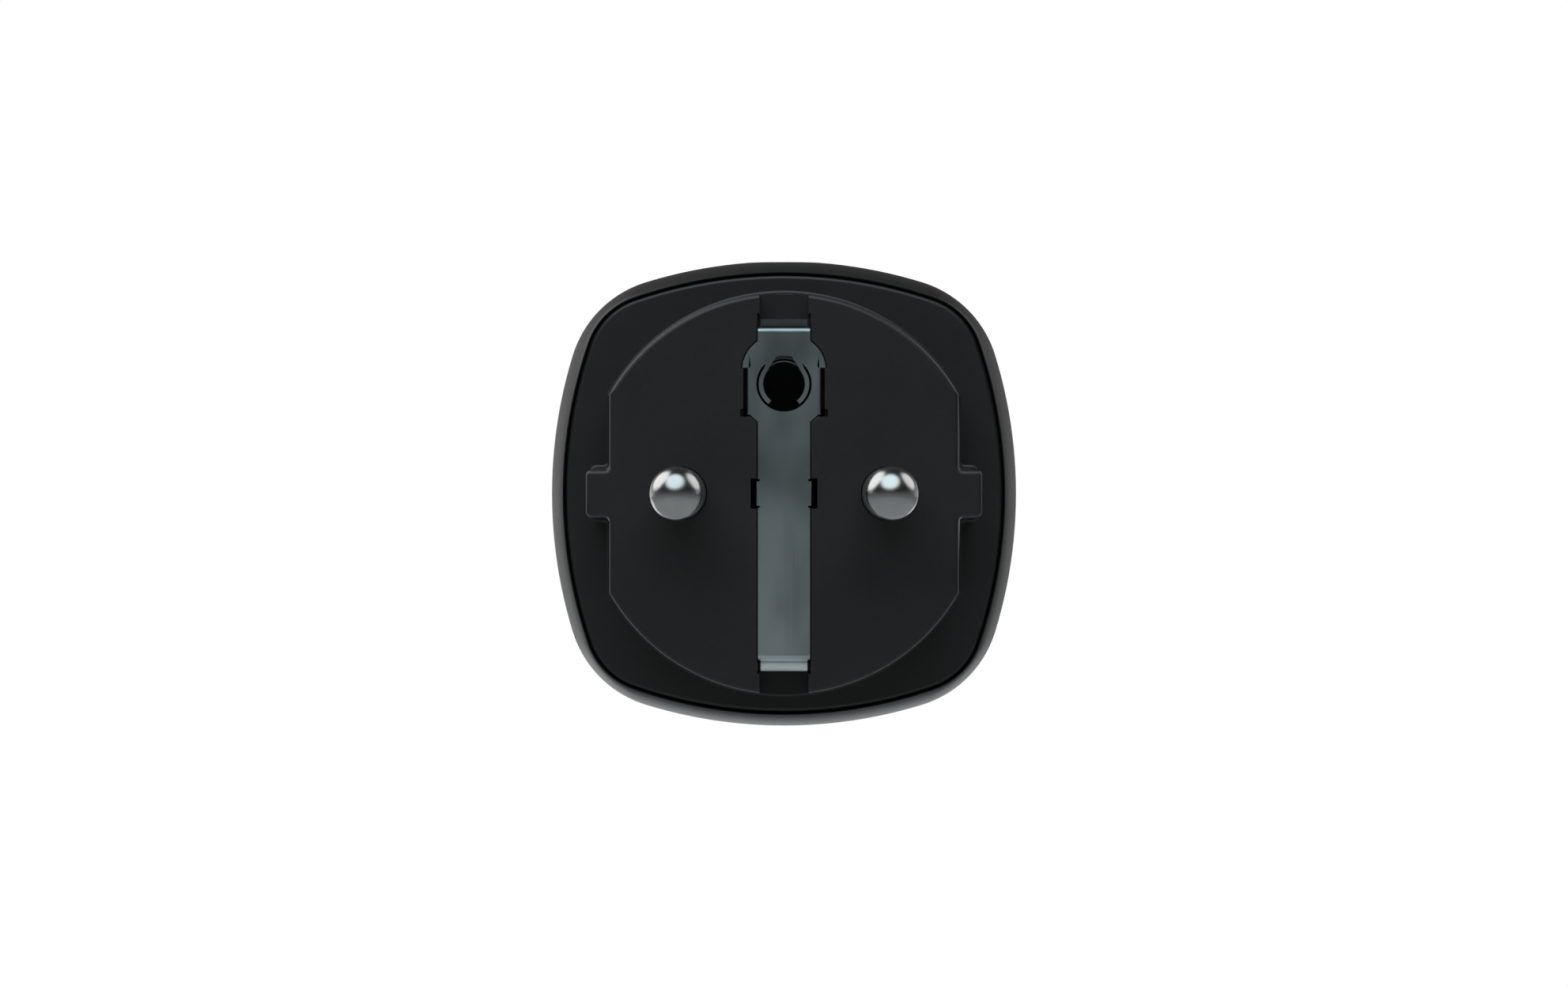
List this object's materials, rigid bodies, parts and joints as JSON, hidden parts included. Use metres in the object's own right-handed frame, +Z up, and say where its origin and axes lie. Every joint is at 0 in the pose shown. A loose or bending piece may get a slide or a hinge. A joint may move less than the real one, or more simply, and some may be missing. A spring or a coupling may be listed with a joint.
{
  "type": "smart plug",
  "caption": "Smart plug with round pins, side earth strip and earth hole behind, a rounded-square body with a top button, and a shuttered recessed socket in front.",
  "frame": {"origin": "centre of the plug's front face, midway between the two pins, where it meets the floor of a wall socket", "axes": "-Y the way the pins point, +Y towards the socket in front, +X towards the line pin, +Z up towards the earth hole and the button"},
  "size_m": [0.0446, 0.0705, 0.0446],
  "materials": {
    "black_plastic": "fine matte moulding grain, near black",
    "pin_plating": "polished nickel plating",
    "strip_steel": "satin spring steel, slightly blue-grey",
    "contact_alloy": "bright stamped brass",
    "spring_wire": "bright spring steel",
    "clear_guide": "frosted light guide",
    "white_nylon": "natural white nylon",
    "board_laminate": "green solder mask",
    "component_black": "black moulded component bodies",
    "relay_blue": "translucent blue case",
    "magnet_iron": "zinc plated soft iron",
    "coil_winding": "enamelled copper wire",
    "capacitor_sleeve": "dark shrink sleeve",
    "fuse_green": "coated resistor body",
    "varistor_blue": "epoxy dipped disc",
    "film_yellow": "boxed film capacitor",
    "shield_can": "tinned shield",
    "led_lens": "milky diode lens"
  },
  "bodies": {
    "housing": {"rear_cover": "black_plastic", "outer_shell": "black_plastic", "socket_insert": "black_plastic", "line_pin": "pin_plating", "neutral_pin": "pin_plating", "earth_strip": "strip_steel", "socket_earth_strap": "strip_steel", "earth_pin_sleeve": "contact_alloy", "earth_link": "contact_alloy", "line_busbar": "contact_alloy", "neutral_busbar": "contact_alloy", "line_contact": "contact_alloy", "neutral_contact": "contact_alloy", "relay_fixed_contact": "contact_alloy", "shunt_resistor": "contact_alloy", "shutter_spring": "spring_wire", "tact_switch_dome": "spring_wire", "light_ring": "clear_guide", "contact_carrier": "white_nylon", "main_board": "board_laminate", "control_board": "board_laminate", "wifi_board": "board_laminate", "relay_base": "component_black", "tact_switch_body": "component_black", "power_inductor": "component_black", "board_connector": "component_black", "bridge_rectifier": "component_black", "switcher_chip": "component_black", "metering_chip": "component_black", "relay_cover": "relay_blue", "relay_core": "magnet_iron", "relay_yoke": "magnet_iron", "relay_coil": "coil_winding", "bulk_capacitor_left": "capacitor_sleeve", "bulk_capacitor_right": "capacitor_sleeve", "fuse_resistor": "fuse_green", "varistor": "varistor_blue", "x_capacitor": "film_yellow", "wifi_shield": "shield_can", "status_led_upper": "led_lens", "status_led_lower": "led_lens"},
    "button": {"button_cap": "black_plastic"},
    "switch_plunger": {"tact_switch_plunger": "component_black"},
    "shutter": {"shutter": "white_nylon"},
    "relay_armature": {"relay_armature": "magnet_iron", "relay_contact_blade": "contact_alloy"}
  },
  "joints": [
    {"name": "button_press", "type": "slide", "parent": "housing", "child": "button", "axis": [0, 0, -1], "range_m": [0, 0.0005], "stiffness_N_per_m": 600},
    {"name": "switch_plunger_press", "type": "slide", "parent": "housing", "child": "switch_plunger", "axis": [0, 0, -1], "range_m": [0, 0.0005]},
    {"name": "shutter_turn", "type": "hinge", "parent": "housing", "child": "shutter", "pos_m": [0, 0.0291, 0], "axis": [0, 1, 0], "range_deg": [0, 40], "stiffness_Nm_per_rad": 0.002},
    {"name": "relay_close", "type": "hinge", "parent": "housing", "child": "relay_armature", "pos_m": [-0.0001, 0.0071, -0.0094], "axis": [0, 0, -1], "range_deg": [0, 4], "stiffness_Nm_per_rad": 0.01}
  ],
  "couplings": [
    {"joint": "switch_plunger_press", "follows": "button_press", "ratio": 1}
  ]
}
